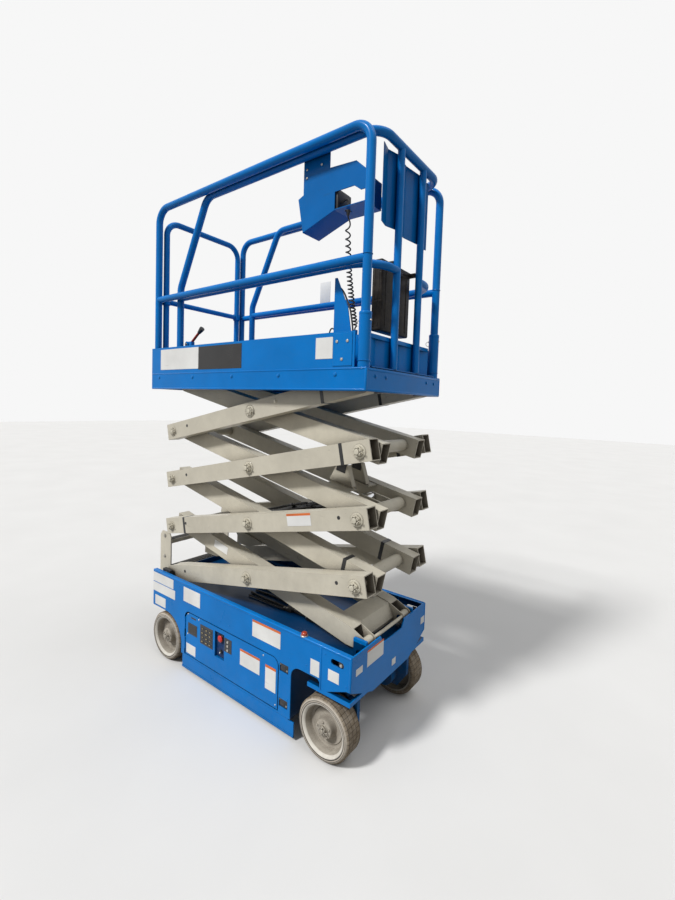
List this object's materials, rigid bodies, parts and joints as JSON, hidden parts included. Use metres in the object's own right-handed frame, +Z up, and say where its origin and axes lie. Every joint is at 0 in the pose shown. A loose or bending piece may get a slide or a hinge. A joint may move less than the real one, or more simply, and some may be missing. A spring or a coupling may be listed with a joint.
{
  "type": "slab scissor lift",
  "caption": "Electric scissor work platform with stacked cross arms, sliding extension deck, guard rails, entry ladder, steered front wheels and side doors.",
  "frame": {"origin": "on the floor under the middle of the machine", "axes": "+X to the steering end, +Y to the left side, +Z up"},
  "size_m": [1.7812, 0.76, 2.9411],
  "materials": {
    "blue_paint": "satin",
    "arm_paint": "satin",
    "tyre": "matt, non-marking",
    "rim": "satin",
    "black_gloss": "gloss",
    "chrome_rod": "polished",
    "black_plastic": "matt",
    "amber": "clear"
  },
  "bodies": {
    "chassis": {"chassis_frame": "blue_paint", "entry_ladder": "arm_paint", "rear_axle": "blue_paint", "battery_pack": "black_plastic", "power_unit": "black_plastic", "amber_light": "amber"},
    "wheel_rear_right": {"tyre_rear_right": "tyre", "rim_rear_right": "rim"},
    "wheel_rear_left": {"tyre_rear_left": "tyre", "rim_rear_left": "rim"},
    "wheel_front_right": {"tyre_front_right": "tyre", "rim_front_right": "rim"},
    "wheel_front_left": {"tyre_front_left": "tyre", "rim_front_left": "rim"},
    "yoke_left": {"steer_yoke_left": "blue_paint"},
    "yoke_right": {"steer_yoke_right": "blue_paint"},
    "tie_rod": {"tie_rod": "blue_paint"},
    "door_right": {"door_right": "blue_paint"},
    "door_left": {"door_left": "blue_paint"},
    "guard_right": {"pothole_guard_right": "blue_paint"},
    "guard_left": {"pothole_guard_left": "blue_paint"},
    "inner_1": {"inner_frame_1": "arm_paint"},
    "inner_2": {"inner_frame_2": "arm_paint"},
    "inner_3": {"inner_frame_3": "arm_paint"},
    "inner_4": {"inner_frame_4": "arm_paint"},
    "outer_1": {"outer_arms_1": "arm_paint"},
    "outer_2": {"outer_arms_2": "arm_paint"},
    "outer_3": {"outer_arms_3": "arm_paint"},
    "outer_4": {"outer_arms_4": "arm_paint"},
    "lower_blocks": {"lower_slide_blocks": "black_plastic"},
    "upper_blocks": {"upper_slide_blocks": "black_plastic"},
    "lift_barrel": {"lift_cylinder_barrel": "black_gloss"},
    "lift_rod": {"lift_cylinder_rod": "chrome_rod"},
    "platform": {"platform_frame": "blue_paint", "toe_boards": "blue_paint", "main_rail_right": "blue_paint", "main_rail_left": "blue_paint", "rear_rail": "blue_paint"},
    "entry_rail": {"entry_mid_rail": "blue_paint"},
    "extension": {"extension_deck": "blue_paint", "extension_rail": "blue_paint", "front_panel_folded": "blue_paint", "front_toe_panel": "blue_paint", "control_guard": "blue_paint", "control_box": "black_plastic", "control_cord": "black_plastic", "cord_bracket": "blue_paint", "manual_holder": "black_plastic", "release_lever": "black_plastic"}
  },
  "joints": [
    {"name": "lift", "type": "hinge", "parent": "chassis", "child": "inner_1", "pos_m": [0.82, 0, 0.543], "axis": [0, 1, 0], "range_deg": [-7.94, 46.4]},
    {"name": "outer_1_pivot", "type": "hinge", "parent": "inner_1", "child": "outer_1", "pos_m": [0.07661, 0, 0.70101], "axis": [0, 1, 0], "range_deg": [-92.82, 15.9]},
    {"name": "outer_2_pivot", "type": "hinge", "parent": "inner_1", "child": "outer_2", "pos_m": [-0.66678, 0, 0.85903], "axis": [0, 1, 0], "range_deg": [-92.82, 15.9]},
    {"name": "inner_2_pivot", "type": "hinge", "parent": "outer_2", "child": "inner_2", "pos_m": [0.07661, 0, 1.01704], "axis": [0, 1, 0], "range_deg": [-15.9, 92.82]},
    {"name": "inner_3_pivot", "type": "hinge", "parent": "outer_2", "child": "inner_3", "pos_m": [0.82, 0, 1.17505], "axis": [0, 1, 0], "range_deg": [-15.9, 92.82]},
    {"name": "outer_3_pivot", "type": "hinge", "parent": "inner_3", "child": "outer_3", "pos_m": [0.07661, 0, 1.33306], "axis": [0, 1, 0], "range_deg": [-92.82, 15.9]},
    {"name": "outer_4_pivot", "type": "hinge", "parent": "inner_3", "child": "outer_4", "pos_m": [-0.66678, 0, 1.49108], "axis": [0, 1, 0], "range_deg": [-92.82, 15.9]},
    {"name": "inner_4_pivot", "type": "hinge", "parent": "outer_4", "child": "inner_4", "pos_m": [0.07661, 0, 1.64909], "axis": [0, 1, 0], "range_deg": [-15.9, 92.82]},
    {"name": "platform_pivot", "type": "hinge", "parent": "outer_4", "child": "platform", "pos_m": [0.82, 0, 1.8071], "axis": [0, 1, 0], "range_deg": [-7.95, 46.41]},
    {"name": "lower_blocks_pivot", "type": "hinge", "parent": "outer_1", "child": "lower_blocks", "pos_m": [-0.66678, 0, 0.543], "axis": [0, 1, 0], "range_deg": [-7.95, 46.41]},
    {"name": "upper_blocks_pivot", "type": "hinge", "parent": "inner_4", "child": "upper_blocks", "pos_m": [-0.66678, 0, 1.8071], "axis": [0, 1, 0], "range_deg": [-46.41, 7.95]},
    {"name": "barrel_pivot", "type": "hinge", "parent": "inner_1", "child": "lift_barrel", "pos_m": [-0.52006, 0, 0.82784], "axis": [0, 1, 0], "range_deg": [-99.13, 16.98]},
    {"name": "rod_slide", "type": "slide", "parent": "lift_barrel", "child": "lift_rod", "axis": [0.9532, 0, 0.3023], "range_m": [-0.0672, 0.3881]},
    {"name": "wheel_rear_right_spin", "type": "hinge", "parent": "chassis", "child": "wheel_rear_right", "pos_m": [-0.60698, -0.323, 0.1525], "axis": [0, 1, 0], "continuous": true},
    {"name": "wheel_rear_left_spin", "type": "hinge", "parent": "chassis", "child": "wheel_rear_left", "pos_m": [-0.60698, 0.323, 0.1525], "axis": [0, 1, 0], "continuous": true},
    {"name": "steer_left", "type": "hinge", "parent": "chassis", "child": "yoke_left", "pos_m": [0.7125, 0.25, 0.33], "axis": [0, 0, 1], "range_deg": [-65, 65]},
    {"name": "steer_right", "type": "hinge", "parent": "chassis", "child": "yoke_right", "pos_m": [0.7125, -0.25, 0.33], "axis": [0, 0, 1], "range_deg": [-65.2, 65.2]},
    {"name": "tie_rod_pivot", "type": "hinge", "parent": "yoke_left", "child": "tie_rod", "pos_m": [0.6025, 0.25, 0.3], "axis": [0, 0, 1], "range_deg": [-65.2, 65.2]},
    {"name": "wheel_front_right_spin", "type": "hinge", "parent": "yoke_right", "child": "wheel_front_right", "pos_m": [0.7125, -0.323, 0.1525], "axis": [0, 1, 0], "continuous": true},
    {"name": "wheel_front_left_spin", "type": "hinge", "parent": "yoke_left", "child": "wheel_front_left", "pos_m": [0.7125, 0.323, 0.1525], "axis": [0, 1, 0], "continuous": true},
    {"name": "door_right_hinge", "type": "hinge", "parent": "chassis", "child": "door_right", "pos_m": [-0.39998, -0.374, 0.3], "axis": [0, 0, -1], "range_deg": [0, 110]},
    {"name": "guard_right_hinge", "type": "hinge", "parent": "chassis", "child": "guard_right", "pos_m": [0, -0.366, 0.098], "axis": [1, 0, 0], "range_deg": [0, 85]},
    {"name": "door_left_hinge", "type": "hinge", "parent": "chassis", "child": "door_left", "pos_m": [-0.39998, 0.374, 0.3], "axis": [0, 0, 1], "range_deg": [0, 110]},
    {"name": "guard_left_hinge", "type": "hinge", "parent": "chassis", "child": "guard_left", "pos_m": [0, 0.366, 0.098], "axis": [-1, 0, 0], "range_deg": [0, 85]},
    {"name": "extension_slide", "type": "slide", "parent": "platform", "child": "extension", "axis": [1, 0, 0], "range_m": [0, 0.914]},
    {"name": "entry_rail_slide", "type": "slide", "parent": "platform", "child": "entry_rail", "axis": [0, 0, 1], "range_m": [0, 0.42]}
  ],
  "couplings": [
    {"joint": "outer_1_pivot", "follows": "lift", "ratio": -2},
    {"joint": "outer_2_pivot", "follows": "lift", "ratio": -2},
    {"joint": "inner_2_pivot", "follows": "lift", "ratio": 2},
    {"joint": "inner_3_pivot", "follows": "lift", "ratio": 2},
    {"joint": "outer_3_pivot", "follows": "lift", "ratio": -2},
    {"joint": "outer_4_pivot", "follows": "lift", "ratio": -2},
    {"joint": "inner_4_pivot", "follows": "lift", "ratio": 2},
    {"joint": "platform_pivot", "follows": "lift", "ratio": 1},
    {"joint": "lower_blocks_pivot", "follows": "lift", "ratio": 1},
    {"joint": "upper_blocks_pivot", "follows": "lift", "ratio": -1},
    {"joint": "barrel_pivot", "follows": "lift", "ratio": -2.136},
    {"joint": "rod_slide", "follows": "lift", "m_per_rad": 0.478},
    {"joint": "steer_right", "follows": "steer_left", "ratio": 1},
    {"joint": "tie_rod_pivot", "follows": "steer_left", "ratio": -1}
  ]
}
